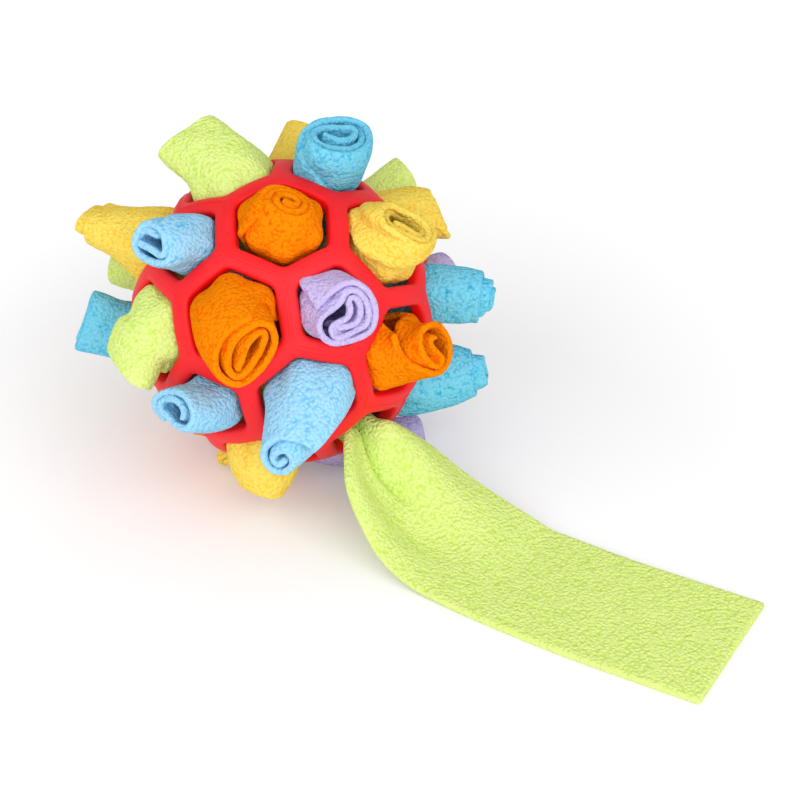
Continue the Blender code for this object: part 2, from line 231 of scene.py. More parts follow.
rubber, tree, shader = new_material("soft_red_rubber")
place = add_node(tree, "ShaderNodeTexCoord").outputs["Object"]
from_middle = add_node(tree, "ShaderNodeVectorMath", {0: place, 1: ball_middle.tolist()},
                       operation="DISTANCE").outputs["Value"]
outer_face = add_node(tree, "ShaderNodeMapRange", {
    "Value": from_middle, "From Min": BALL_RADIUS - 0.0025, "From Max": BALL_RADIUS}).outputs["Result"]
handling = add_node(tree, "ShaderNodeTexNoise", {
    "Vector": place, "Scale": 55.0, "Detail": 5.0, "Roughness": 0.6}).outputs["Fac"]
# Painted light and shade: the outer face is painted a lighter, pinker red in patches that follow the
# handling noise, and the hole walls keep a deeper red as painted shade.
painted_light_and_handling = add_node(tree, "ShaderNodeMath", {0: outer_face, 1: handling},
                 operation="MULTIPLY").outputs["Value"]
red = add_node(tree, "ShaderNodeMix", {
    "Factor": painted_light_and_handling, "A": (0.82, 0.003, 0.006, 1.0), "B": (0.92, 0.018, 0.028, 1.0)},
    data_type="RGBA").outputs["Result"]
matt = add_node(tree, "ShaderNodeMapRange", {
    "Value": handling, "To Min": 0.40, "To Max": 0.62}).outputs["Result"]
grain = add_node(tree, "ShaderNodeTexNoise", {
    "Vector": place, "Scale": 900.0, "Detail": 3.0}).outputs["Fac"]
skin = add_node(tree, "ShaderNodeBump", {
    "Strength": 0.10, "Distance": 0.0002, "Height": grain}).outputs["Normal"]
feed(tree, shader, {"Base Color": red, "Roughness": matt, "Specular IOR Level": 0.30, "Normal": skin})

panels = football_panels()
panel_middles = np.array([panel.mean(axis=0) / np.linalg.norm(panel.mean(axis=0)) for panel in panels])
mould_half = panel_middles @ direction_of(*MOULD_AXIS) > 0
profile = rib_profile()
points, faces, base = [], [], 0
for panel in panels:
    rib, edge = hole_outline(panel, arc_steps=4, straight_steps=8)
    steps = len(rib) // len(panel)
    flash = []
    for corner, after in zip(panel, np.roll(panel, -1, axis=0)):
        sides = np.argsort(-(panel_middles @ (corner + after)))[:2]
        flash.append(float(mould_half[sides[0]] != mould_half[sides[1]]))
    along = np.arange(steps) / steps
    ridge = np.concatenate([
        flash[i] + np.where(along < 0.5, flash[i - 1] - flash[i], flash[(i + 1) % len(panel)] - flash[i])
        * np.clip(1.0 - np.minimum(along, 1 - along) / FLASH["join"], 0, 1) * 0.5
        for i in range(len(panel))])
    gap = np.linalg.norm(edge - rib, axis=1) * BALL_RADIUS
    share = profile[None, :, 0] + profile[None, :, 1] / gap[:, None]
    ray = rib[:, None, :] + share[:, :, None] * (edge - rib)[:, None, :]
    ray /= np.linalg.norm(ray, axis=2)[:, :, None]
    aside = share * gap[:, None]
    on_face = profile[None, :, 2] > BALL_RADIUS - 2.0 * RIB_CROWN
    radius = profile[None, :, 2] + np.where(
        on_face, ridge[:, None] * FLASH["height"]
        * np.exp(-((aside - FLASH["offset"]) / FLASH["spread"]) ** 2), 0.0)
    points.append((ray * radius[:, :, None]).reshape(-1, 3))
    index = base + np.arange(len(rib) * len(profile)).reshape(len(rib), len(profile))
    turn = np.roll(index, -1, axis=0)
    faces.append(np.stack((index[:, :-1], index[:, 1:], turn[:, 1:], turn[:, :-1]), axis=-1).reshape(-1, 4))
    base += index.size
points, faces = np.concatenate(points), np.concatenate(faces)
keys = np.round(points / MERGE_DISTANCE).astype(np.int64)
_, first, same = np.unique(keys, axis=0, return_index=True, return_inverse=True)
mesh, _ = mesh_from_grid("rubber_ball_skin", points[first] + ball_middle, same.reshape(-1)[faces])
ball_skin = make_piece("rubber_ball_skin", mesh, rubber)
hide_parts("rubber_ball")
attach(ball_skin, "ball")


# Fleece, a knitted polyester cloth about 3 mm thick with a deep pilled nap on both sides.
# The nap's lumps are in the mesh, and its finer curls and fibres are in the material.  Its
# colour has light and shade painted in: the raised tips lighter, and the hollows between them
# darker with painted shade.  The cut edges are paler, because less painted shade goes there.
FLEECE_COLOURS = {        # (tips of the nap, painted lighter; depths of the nap, painted shade), linear red, green and blue
    "orange": ((1.00, 0.270, 0.003), (1.00, 0.095, 0.001)),
    "blue": ((0.37, 0.720, 0.970), (0.085, 0.470, 0.820)),
    "sky blue": ((0.20, 0.660, 0.880), (0.018, 0.400, 0.680)),
    "lime": ((0.79, 0.950, 0.290), (0.56, 0.830, 0.080)),
    "yellow": ((1.00, 0.760, 0.130), (1.00, 0.500, 0.010)),
    "lilac": ((0.62, 0.530, 0.860), (0.32, 0.240, 0.680)),
}


def hashed(cell, salt):
    """Number from 0 to 1 for each whole-number cell: its coordinates times large numbers, mixed."""
    with np.errstate(over="ignore"):
        value = (cell[..., 0] * 374761393 + cell[..., 1] * 668265263 + cell[..., 2] * 1440662683
                 + salt * 974634777).astype(np.uint32)
        value = (value ^ (value >> 13)) * np.uint32(1274126177)
        value ^= value >> np.uint32(16)
    return value.astype(np.float64) / 4294967295.0


def drift(points, size, salt):
    """Smooth noise from -1 to 1: random values on a lattice of that size, blended by a cubic."""
    scaled = points / size
    cell = np.floor(scaled).astype(np.int64)
    part = scaled - cell
    part = part * part * (3.0 - 2.0 * part)
    total = np.zeros(points.shape[:-1])
    for corner in np.ndindex(2, 2, 2):
        weight = np.prod(np.where(corner, part, 1.0 - part), axis=-1)
        total += weight * hashed(cell + corner, salt)
    return 2.0 * total - 1.0


def nap_lumps(points, size, salt):
    """Height of pilled nap from 0 to 1: domes round scattered points, one to each cell."""
    scaled = points / size
    cell = np.floor(scaled).astype(np.int64)
    nearest = np.full(points.shape[:-1], 4.0)
    for step in np.ndindex(3, 3, 3):
        home = cell + step - 1
        spot = home + np.stack([hashed(home, salt + axis) for axis in range(3)], axis=-1)
        nearest = np.minimum(nearest, np.sum((scaled - spot) ** 2, axis=-1))
    return np.clip(1.0 - nearest, 0.0, 1.0)


nap = bpy.data.node_groups.new("fleece_nap", "ShaderNodeTree")
nap.interface.new_socket("Tips", in_out="INPUT", socket_type="NodeSocketColor")
nap.interface.new_socket("Depths", in_out="INPUT", socket_type="NodeSocketColor")
nap.interface.new_socket("Color", in_out="OUTPUT", socket_type="NodeSocketColor")
nap.interface.new_socket("Height", in_out="OUTPUT", socket_type="NodeSocketFloat")
nap_colours = add_node(nap, "NodeGroupInput").outputs
place = add_node(nap, "ShaderNodeTexCoord").outputs["Object"]
curls = add_node(nap, "ShaderNodeTexVoronoi", feature="SMOOTH_F1")
feed(nap, curls, {"Vector": place, "Scale": 700.0, "Smoothness": 0.45, "Randomness": 1.0})
fibres = add_node(nap, "ShaderNodeTexNoise", {
    "Vector": place, "Scale": 1900.0, "Detail": 4.0, "Roughness": 0.65}).outputs["Fac"]
curled = add_node(nap, "ShaderNodeMapRange", {
    "Value": curls.outputs["Distance"], "From Min": 0.25, "From Max": 0.75,
    "To Min": 1.0, "To Max": 0.0}).outputs["Result"]
height = add_node(nap, "ShaderNodeMath", {0: fibres, 1: 0.9, 2: curled},
                  operation="MULTIPLY_ADD").outputs["Value"]
lumps = add_node(nap, "ShaderNodeAttribute", attribute_name="nap").outputs["Fac"]
lift = add_node(nap, "ShaderNodeMath", {0: lumps, 1: 0.8}, operation="MULTIPLY").outputs["Value"]
# Painted light and shade: where the nap stands higher its colour goes to the lighter tips, and where it
# lies lower to the darker depths, as painted shade.
shade = add_node(nap, "ShaderNodeMath", {0: height, 1: 0.75, 2: lift},
                 operation="MULTIPLY_ADD").outputs["Value"]
tipped = add_node(nap, "ShaderNodeMapRange", {
    "Value": shade, "From Min": 0.55, "From Max": 1.30}).outputs["Result"]
lit_and_shaded_nap = add_node(nap, "ShaderNodeMix", {
    "Factor": tipped, "A": nap_colours["Depths"], "B": nap_colours["Tips"]}, data_type="RGBA").outputs["Result"]
# At the cloth's cut edges less of that painted shade is put, so they are paler.
cut_edge = add_node(nap, "ShaderNodeAttribute", attribute_name="cut").outputs["Fac"]
paler = add_node(nap, "ShaderNodeMath", {0: cut_edge, 1: 0.75}, operation="MULTIPLY").outputs["Value"]
pale = add_node(nap, "ShaderNodeMix", {
    "Factor": paler, "A": lit_and_shaded_nap, "B": nap_colours["Tips"]}, data_type="RGBA").outputs["Result"]
add_node(nap, "NodeGroupOutput", {"Color": pale, "Height": height})

fleece = {}
for colour, (tips, depths) in FLEECE_COLOURS.items():
    fleece[colour], tree, shader = new_material(f"{colour.replace(' ', '_')}_fleece")
    pile = add_node(tree, "ShaderNodeGroup", {"Tips": (*tips, 1.0), "Depths": (*depths, 1.0)},
                    node_tree=nap).outputs
    curly = add_node(tree, "ShaderNodeBump", {
        "Strength": 0.8, "Distance": 0.0007, "Height": pile["Height"]}).outputs["Normal"]
    feed(tree, shader, {
        "Base Color": pile["Color"], "Normal": curly, "Roughness": 0.95, "Specular IOR Level": 0.0,
        "Sheen Weight": 0.12, "Sheen Roughness": 0.5, "Sheen Tint": (*tips, 1.0)})


# Rolled strips, one in each hole but one.  Each is a strip of fleece wound up like a bandage,
# pushed into its hole tail first, squeezed to the hole's shape and left loose at its tip.
HOLE_PLANE = 0.064        # distance from the ball's centre to the plane a roll is placed by
TAIL_DEPTH = 0.036        # how far a roll reaches inwards from that plane
SEAT_DEPTH = 0.005        # how far inside that plane the hole's wall squeezes it
PENTAGON_SEAT = {"tail": 0.0075, "seat": 0.0127, "corners": 0.16}
HEXAGON_SEAT = {"tail": 0.0096, "seat": 0.0175, "corners": 0.15}
PITCH = 0.0031            # distance from one turn to the next
CLOTH = 0.0028            # thickness of the cloth
EDGE_ROUND = 0.0012       # how far from its cut edges the cloth is rounded off
ROUND_STEPS = 4           # rows of points over that rounding
NAP = 0.00038             # height of the nap's lumps
NAP_SIZE = 0.0019         # distance from one lump to the next
NAP_DRIFT = 0.0045        # size of the patches where the lumps are higher or lower
FULL_NAP = 0.0012         # half the cloth's thickness from which the nap has its full height
SPACING = 0.00090         # distance between points where the cloth shows
INNER_SPACING = 1.6 * SPACING  # the same in the inner turns of a tip
CLOSE_TURN = 2.3 * math.pi  # angle from its outer end over which a tip's points are close
SHORT_PART = 0.006        # the least length of cloth on either side of that change
WAVE = 0.0004             # how far a plain tip's edge waves out and in
HOLLOW = 0.002            # how far back a tip bends; where it lies deeper, its cloth ends sooner
SWAY = 0.0007             # how far a roll strays from its plain shape
SWAY_SIZE = 0.010         # over what distance that changes
TAIL_ROWS = 9             # rows of points along the tail
TAIL_END = 0.0003         # distance from the tail's end to the row that closes it
OPEN_CORE = 0.0006        # radius left open in the middle of a winding that is squeezed
LEAST_RADIUS = 0.0008     # how near to a roll's middle line its cloth may come in the hole

# One row for each roll, from the top of the ball down: its number and colour; its hole's
# azimuth and elevation in degrees; how far it stands out, in metres; how it leans, across and
# up, in degrees; its radius half way out and at the tip, in metres; how flat the tip is
# pressed, as short side over long; and how far the long side is turned from level, in degrees.
ROLLS = [
    (1, "blue", 32, 70, 0.020, -15, 10, 0.0164, 0.0128, 0.85, 60),
    (2, "orange", -86, 66, 0.008, 19, 11, 0.0165, 0.0125, 0.90, 0),
    (3, "lime", 150, 66, 0.026, -17, -48, 0.0165, 0.0158, 0.45, -42),
    (4, "blue", -148, 47, 0.019, 17, -23, 0.0130, 0.0098, 0.85, 90),
    (5, "yellow", -20, 43, 0.014, 2, 9, 0.0155, 0.0125, 0.60, -80),
    (6, "yellow", 84, 43, 0.018, -5, -13, 0.0150, 0.0130, 0.80, 0),
    (7, "yellow", 32, 32, 0.0215, -40, -34, 0.0140, 0.0125, 0.60, 25),
    (8, "lilac", -65, 31, 0.012, 1, -18, 0.0143, 0.0138, 0.88, -30),
    (9, "orange", 129, 31, 0.0025, 0, -10, 0.0132, 0.0136, 0.90, 0),
    (10, "orange", -107, 27, 0.022, 50, -33, 0.0160, 0.0138, 0.75, 60),
    (11, "yellow", 172, 27, 0.031, -18, -20, 0.0150, 0.0140, 0.68, 0),
    (12, "blue", 0, 10, 0.0225, -8, -12, 0.0140, 0.0125, 0.85, 90),
    (13, "lime", 65, 10, 0.0335, -25, 25, 0.0140, 0.0105, 0.85, 0),
    (14, "lime", -148, 9, 0.0162, 22, -60, 0.0150, 0.0140, 0.60, 0),
    (15, "orange", -37, 4, 0.018, 3, 24, 0.0122, 0.0110, 0.86, 70),
    (16, "lilac", 102, 4, 0.025, 0, 10, 0.0155, 0.0145, 0.85, 30),
    (17, "blue", -78, -4, 0.0300, -35, -25, 0.0152, 0.0096, 0.85, 50),
    (18, "lime", 143, -4, 0.030, 28, 8, 0.0140, 0.0105, 0.85, 0),
    (19, "lilac", 32, -9, 0.0210, 2, 20, 0.0145, 0.0130, 0.85, 0),
    (20, "blue", -115, -10, 0.0195, -23, 33, 0.0138, 0.0120, 0.60, -20),
    (21, "blue", 180, -10, 0.024, 6, 26, 0.0134, 0.0145, 0.50, 110),
    (22, "blue", -8, -27, 0.030, 10, 37, 0.0150, 0.0118, 0.80, 80),
    (23, "yellow", 73, -27, 0.024, 0, 10, 0.0155, 0.0145, 0.85, 0),
    (24, "lilac", 115, -31, 0.022, 0, 15, 0.0140, 0.0135, 0.85, 0),
    (25, "orange", -148, -32, 0.0025, 0, 5, 0.0140, 0.0135, 0.90, 0),
    (26, "yellow", -96, -43, 0.0146, -13, -24, 0.0145, 0.0105, 0.85, 0),
    (27, "orange", 160, -43, 0.012, 0, 30, 0.0145, 0.0130, 0.85, 0),
    (28, "blue", 32, -47, 0.018, 0, 24, 0.0130, 0.0130, 0.80, 0),
    (29, "lilac", -30, -66, 0.036, 67, 55, 0.0115, 0.0088, 0.85, 0),
    (30, "lime", 95, -66, 0.018, 0, 58, 0.0150, 0.0150, 0.62, 0),
    (31, "yellow", -148, -70, 0.0175, 58, 52, 0.0095, 0.0115, 0.62, 0),
]

# How a roll is wound, where it isn't the plain way.  All angles are degrees round the roll,
# counted from the side that faces the viewer, anticlockwise as the tip is looked at.  "edge"
# is where its outer end lies at the tip, and "skew" how far that end runs round from hole to
# tip; "hand" is -1 where it winds the other way; "core" is the radius of its open middle, in
# turns; "shoulder" is how much its outer turn is drawn in at the tip; "dome" is how far the
# inner turns stand out, in metres; "setback" is how far the outer turns lie back from the tip,
# in metres, and how many turns in from the outer end that is over and is still full, both past
# the last turn where the whole tip lies back; "slant" is the side the tip slopes out to, by how
# many degrees, and how far its middle stands out, in metres; "thin" is how much the cloth is
# squeezed; "flap" is how far the outer end lifts off.  Each dent is at an angle and a share of
# the way out, spreads over an angle and a share, and takes away a share of the radius, or adds
# it where that is negative.
PLAIN = {"edge": 160, "skew": 25, "hand": 1, "core": 0.32, "shoulder": 0.05, "dome": 0.0008,
         "setback": (0.0, 1.0, 0.0), "slant": (0, 0, 0.0), "thin": 1.0, "flap": 0.0003, "dents": ()}
WOUND = {
    1: {"skew": -72},
    2: {"edge": -55, "skew": 15, "core": 0.15, "dome": 0.0028, "shoulder": 0.10,
        "setback": (0.002, 0.25, 0.0)},
    3: {"edge": 150, "skew": 0, "slant": (285, 13, 0.0015), "dents": ((35, 0.12, 22, 0.16, 0.14),)},
    4: {"skew": -60},
    5: {"skew": 230},
    6: {"slant": (290, 14, 0.002)},
    7: {"slant": (90, 28, -0.0015), "dents": ((265, 0.2, 50, 0.3, 0.30),)},
    8: {"skew": 40, "thin": 0.85, "dents": ((350, 0.12, 65, 0.38, -0.32),)},
    10: {"skew": 90},
    11: {"edge": -150, "skew": 20, "dome": 0.0020, "shoulder": 0.08, "setback": (0.005, 1.25, 1.0)},
    12: {"edge": 115, "skew": -30, "dome": 0.0045, "setback": (0.0025, 1.2, 1.0),
         "dents": ((60, 0.8, 40, 0.1, 0.12),)},
    13: {"slant": (280, 14, 0.002)},
    14: {"edge": 120, "skew": 30, "shoulder": 0.10, "flap": 0.002, "slant": (350, 20, 0.001),
         "dents": ((95, 0.37, 16, 0.10, 0.34), (335, 0.9, 45, 0.3, -0.15))},
    15: {"skew": 20, "thin": 0.9},
    17: {"hand": -1, "edge": -75, "skew": 30, "dome": 0.0, "core": 0.3, "shoulder": -0.30,
         "flap": 0.0025, "slant": (180, 20, -0.002), "setback": (0.003, 0.4, 0.0),
         "dents": ((255, 0.1, 60, 0.3, -0.10),)},
    19: {"dents": ((320, 0.9, 45, 0.4, -0.50),)},
    20: {"skew": 15},
    21: {"edge": 150, "skew": 10, "slant": (270, 6, 0.0),
         "dents": ((270, 0.6, 45, 0.4, -0.14), (90, 0.9, 40, 0.4, -0.10))},
    22: {"edge": 150, "skew": 10, "dome": 0.0010, "setback": (0.005, 1.2, 1.0),
         "dents": ((285, 0.55, 45, 0.3, -0.22),)},
    25: {"setback": (0.004, 99.0, 98.0)},
    26: {"edge": 150, "skew": 20, "shoulder": 0.12,
         "dents": ((90, 0.6, 50, 0.4, -0.25), (270, 0.2, 40, 0.3, 0.15))},
    29: {"slant": (320, 10, 0.003), "dents": ((320, 1.0, 60, 0.4, -0.2),)},
    31: {"setback": (0.006, 99.0, 98.0), "dents": ((90, 0.5, 50, 0.4, -0.3),)},
}

# Blue strips that are given a deeper, more saturated blue than the other blue ones.
DEEPER_BLUE_ROLLS = (1, 12, 21, 22)

# Where a tip faces the viewer: the middle line of the cloth there, from its inner end outwards,
# as how far it lies from the tip's middle across and up, and how far out, in millimetres.
WINDINGS = {
    1: ((2.5, 5.5, -1), (-0.5, 3.1, -0.5), (-2.6, -0, 0), (-1.3, -4.5, 0), (2, -8.2, 0),
        (5.1, -8.5, -0.5), (5.9, -4.9, -1), (6.5, -0.6, -1), (6.2, 4.2, -1), (3.8, 9, -0.5),
        (0.2, 11.4, 0), (-3.3, 11.3, 0), (-6.1, 7.9, 0), (-7.6, 3.3, 0), (-7.5, -1.5, 0),
        (-4.7, -6.7, -0.5), (0.7, -11.1, -1.5), (6.7, -13.3, -2.5), (11, -11.9, -3.5),
        (12.2, -5.6, -3.5), (11.9, 0.6, -3.5), (8.2, 7.2, -2), (3.2, 12.1, -1), (-3.1, 14.6, 0),
        (-7.7, 13.1, 0.5), (-10.7, 9, 0.5), (-11.9, 3.5, 0.5), (-10.5, -3.4, 0.5),
        (-6.4, -9.4, 0.3), (-0.4, -13.6, 0), (4.8, -14.2, 0), (8.4, -10.8, 0), (9.8, -4.1, 0),
        (9.3, 3.2, 0), (7, 10, -1), (4.2, 13, -2.5), (0.8, 13.7, -4)),
    4: ((1.9, 2.8, -1), (-0.2, 2.6, -0.5), (-2.4, 2.4, 0), (-4.8, 2, 0), (-7, 0.5, -0.5),
        (-8.6, -2.2, -1.5), (-7.7, -4, -1), (-4.6, -4, 0), (-1.3, -3.4, 0), (2.7, -2.9, 0),
        (6.1, -2.6, 0), (7.6, -0.5, 0), (6.3, 1.9, 0), (4.3, 4, 0), (1.6, 5.5, 0),
        (-1.7, 5.5, 0), (-5.4, 4.9, 0), (-7.9, 2.7, 0), (-8.6, -0.2, 0), (-8.3, -3.5, 0),
        (-6.8, -6.2, 0), (-3.6, -7.7, 0), (0.9, -7.5, 0), (5.1, -6.5, 0), (8.8, -4.5, 0),
        (9.6, -1.5, -1), (8.4, 1.5, -1.5), (6, 4.3, -1.5), (2.2, 6, -2), (-2, 6.7, -2)),
    5: ((-5, 3.9, -1.5), (-3.9, 0.9, -1), (-2.4, -2.3, -1), (-1.5, -5.6, -1), (1.8, -7.7, -2),
        (7.1, -7.8, -3), (8.9, -5.2, -3.5), (7.9, -1.7, -3.5), (6.4, 1.9, -3.5), (4.7, 5, -3.5),
        (1.4, 7.4, -3), (-3.3, 7.7, -2.5), (-8, 5.8, -1.5), (-9.9, 2.4, -0.5),
        (-8.1, -1.5, -0.3), (-5.8, -5.1, 0), (-3.4, -8.4, 0), (0.4, -10, 0), (5, -8.9, 0),
        (7.2, -5, 0), (6.4, -0.5, 0), (3.7, 4, 0), (0.6, 8.3, 0), (-3.8, 10.2, 0),
        (-8.9, 9.7, 0), (-12.9, 7.7, 0), (-14.9, 4.4, 0.2), (-13.3, -0.1, 0.3),
        (-9.8, -4.6, 0.3), (-5.9, -9.5, 0), (0, -12.1, 0), (7.4, -10.8, -0.5), (11.3, -7.1, -1),
        (11.5, -2.5, -1.5)),
    8: ((-4.7, -4.5, 0), (-0.4, -4.6, 0), (3.8, -4.1, 0), (5.8, -1.5, 0), (6.1, 1.8, 0),
        (4.9, 4.8, 0), (3, 5.6, 0), (1.7, 3.8, 0), (1.8, 1, 0), (-0, -1.4, 0), (-3.8, -1.5, 0),
        (-6.9, -2.3, 0), (-7.9, -4.6, 0), (-6.6, -7.6, 0), (-2.7, -8.2, 0), (2, -7.9, 0),
        (7, -7.3, 0), (8.9, -4.6, 0), (9.4, 0.3, 0), (8.4, 4.4, 0), (5.8, 7.6, 0), (2.6, 8.6, 0),
        (0.1, 7.1, 0), (-1.5, 4.2, -0.3), (-4.5, 3, -0.5), (-8.1, 1.8, -0.3), (-10.8, -0.3, 0),
        (-11.6, -3.8, 0), (-10.1, -7.5, 0), (-7.2, -10.1, 0), (-2.7, -11.2, 0), (3, -11, 0),
        (8.8, -9.7, 0), (11.6, -6.3, 0), (12.3, -0.9, 0), (11.2, 4.3, 0), (8.7, 8.4, -0.3),
        (5, 11, -1), (0.8, 10.8, -2), (-3.3, 8.8, -3), (-6.9, 6, -4), (-10.1, 2.3, -5)),
    10: ((-5.4, -8.3, 0), (-4.3, -5.2, 0), (-2.9, -0.7, 0), (-1.4, 3.8, 0), (0.8, 7.2, 0),
        (3.2, 8.2, 0), (4.5, 5.5, 0), (4, 1.6, 0), (1.8, -3.5, 0), (-0.2, -8, 0),
        (-2.7, -11.2, 0), (-5.5, -11.3, -0.3), (-8, -8.5, -0.8), (-8.8, -3.5, -1.2),
        (-7.7, 2.1, -1.5), (-5.2, 6.7, -1.5), (-1.8, 10.2, -1.2), (2, 11.9, -0.8),
        (5.7, 10.4, -0.3), (8.1, 6.3, 0), (8.9, 1.8, 0), (7.4, -4, 0), (4.6, -9.7, 0),
        (1.2, -14, 0), (-3.4, -15.4, 0), (-8.4, -13.5, -0.8), (-11.8, -9.6, -2), (-13, -4.6, -3),
        (-12.2, 0.9, -3.5), (-9.9, 6.3, -3.5), (-6, 10.2, -3.5), (-1.5, 13.1, -3.5)),
    15: ((2.1, 2.8, 0), (0.3, 3.4, 0), (-1.6, 2.5, 0), (-1.2, 0.3, 0), (0.4, -2.3, 0),
        (1.6, -4.9, 0), (0.7, -6.8, 0), (-2.3, -7.2, 0), (-5.7, -5.5, 0), (-7.6, -2.9, 0),
        (-8.4, 0.2, 0), (-8, 3.4, 0), (-6.7, 5.9, 0), (-4.4, 8, 0), (-0.4, 9.1, 0),
        (4.3, 8.3, 0), (7.6, 6.1, 0), (9, 2.7, 0), (8.6, -1, 0), (6.9, -4.6, 0), (4.6, -7.4, 0),
        (1.1, -9.4, 0), (-3.5, -9.5, 0), (-7.3, -8, -0.5), (-9.6, -5.5, -2), (-10.5, -2.7, -4.5),
        (-10.8, 0.8, -7.5), (-11.3, 4.7, -9.5), (-11.7, 8.7, -10.5), (-11.7, 12.5, -10.5)),
    20: ((4.8, -2, 0), (5.4, 0.7, 0), (3.1, 2.6, 0), (-0.8, 3.3, 0), (-5.2, 2.8, 0),
        (-8.5, 0.9, 0), (-9.4, -1.5, 0), (-7.3, -3, 0), (-3.6, -3.6, 0), (0.5, -4.5, 0),
        (4.9, -5, 0), (9, -3.5, 0), (11.2, -0.2, 0), (11, 3, 0), (8.2, 5.5, 0), (4, 7, 0),
        (-1.1, 6.8, 0), (-6.7, 5.1, -0.3), (-11.3, 2.3, -0.6), (-13.9, -1.1, -1),
        (-13.9, -4.1, -2), (-11.4, -5.8, -3), (-8.3, -7.3, -4)),
}


def ramp(x, low, high):
    """Smooth step: 0 at low, 1 at high, 3x^2 - 2x^3 between them and level beyond them."""
    x = np.clip((x - low) / (high - low), 0.0, 1.0)
    return x * x * (3.0 - 2.0 * x)


def graded(low, high, spacing):
    """Points from low to high at a spacing, with ROUND_STEPS closer ones over both rounded ends."""
    swing = EDGE_ROUND * (1.0 - np.cos(np.linspace(0.0, math.pi / 2, ROUND_STEPS + 1)))
    inner = np.linspace(low + EDGE_ROUND, high - EDGE_ROUND, max(3, round((high - low) / spacing)))
    return np.concatenate((low + swing[:-1], inner, high - swing[-2::-1]))


def rounded(distance):
    """Share of the full thickness at a distance from the cloth's edge: a quarter circle."""
    return np.sqrt(1.0 - (1.0 - np.clip(distance / EDGE_ROUND, 0.0, 1.0)) ** 2)


def turned_about(vector, axis, angle):
    """Vector turned about a unit axis: v cos a + (k x v) sin a + k (k.v) (1 - cos a)."""
    cos, sin = np.cos(angle)[..., None], np.sin(angle)[..., None]
    return vector * cos + np.cross(axis, vector) * sin + axis * (axis @ vector) * (1.0 - cos)


def smooth_rows(rows, steps):
    """Rows read from the Catmull-Rom curve through the given rows, steps to each gap."""
    rows = np.array(rows)
    padded = np.concatenate((2 * rows[:1] - rows[1:2], rows, 2 * rows[-1:] - rows[-2:-1]))
    smooth = []
    for a, b, c, d in zip(padded, padded[1:], padded[2:], padded[3:]):
        t = (np.arange(steps) / steps)[:, None]
        smooth.append(0.5 * (2 * b + (c - a) * t + (2 * a - 5 * b + 4 * c - d) * t ** 2
                             + (3 * b - a - 3 * c + d) * t ** 3))
    return np.concatenate((*smooth, rows[-1:]))


def plain_winding(tip_radius, flatness, turned, facing, shape, number):
    """Middle line of the cloth at a plain tip, inner end first: across, up and out.

    It is a spiral that gains PITCH in each turn, r = core + PITCH a / 2 pi, round a straight
    slit: the long way is r cos a + slit tanh(3 cos a), and the short way is r sin a.
    """
    core = shape["core"] * PITCH
    whole = 2.0 * math.pi * (flatness * tip_radius - 0.5 * CLOTH - core) / PITCH
    angle = np.linspace(0.0, whole, 1200)
    around = facing + math.radians(shape["edge"] - turned) + shape["hand"] * (angle - whole)
    spiral = core + PITCH * angle / (2.0 * math.pi) + shape["flap"] * ramp(angle, whole - 0.9, whole)
    spiral = spiral * (1.0 - shape["shoulder"] * (angle / whole) ** 2)
    slit = (1.0 - flatness) * tip_radius * (1.0 - shape["shoulder"] * (angle / whole) ** 2)
    long_way = spiral * np.cos(around) + slit * np.tanh(3.0 * np.cos(around))
    short_way = spiral * np.sin(around)
    wave = 0.5 * np.sin(1.3 * angle + number) + 0.5 * np.sin(2.7 * angle + 2.1 * number)
    lie = math.radians(turned)
    return np.stack((long_way * math.cos(lie) - short_way * math.sin(lie),
                     long_way * math.sin(lie) + short_way * math.cos(lie),
                     shape["dome"] * (1.0 - angle / whole) + WAVE * wave), axis=1)


def tip_points(row, shape, facing):
    """Points of the cloth's middle line at the tip, closer together in its outer turn.

    Gives how far along the cloth each lies, the cloth's whole length, and five columns: how
    far each point lies across, up and out, its angle round the tip's middle, and that angle
    with its backward steps left out, which the winding in the hole follows.
    """
    number, half_way_radius, tip_radius, flatness, turned = (row[0], *row[7:])
    if number in WINDINGS:
        line = smooth_rows(WINDINGS[number], 12) * 0.001
    else:
        line = plain_winding(tip_radius, flatness, turned, facing, shape, number)
    polar = np.unwrap(np.arctan2(line[:, 1], line[:, 0]))
    hand = 1.0 if polar[-1] > polar[0] else -1.0
    steady = hand * np.maximum.accumulate(hand * polar)
    run = np.concatenate(((0.0,), np.cumsum(np.hypot(np.diff(line[:, 0]), np.diff(line[:, 1])))))
    outer_turn = run[np.argmax(np.abs(steady[-1] - steady) < CLOSE_TURN)]
    outer_turn = np.clip(outer_turn, SHORT_PART, run[-1] - SHORT_PART)
    spacing = SPACING * tip_radius / max(tip_radius, half_way_radius)
    lengths = np.concatenate((graded(0.0, outer_turn, INNER_SPACING)[:-ROUND_STEPS],
                              graded(outer_turn, run[-1], spacing)[ROUND_STEPS:]))
    columns = [np.interp(lengths, run, column)[:, None] for column in (*line.T, polar, steady)]
    return lengths[:, None], run[-1], columns


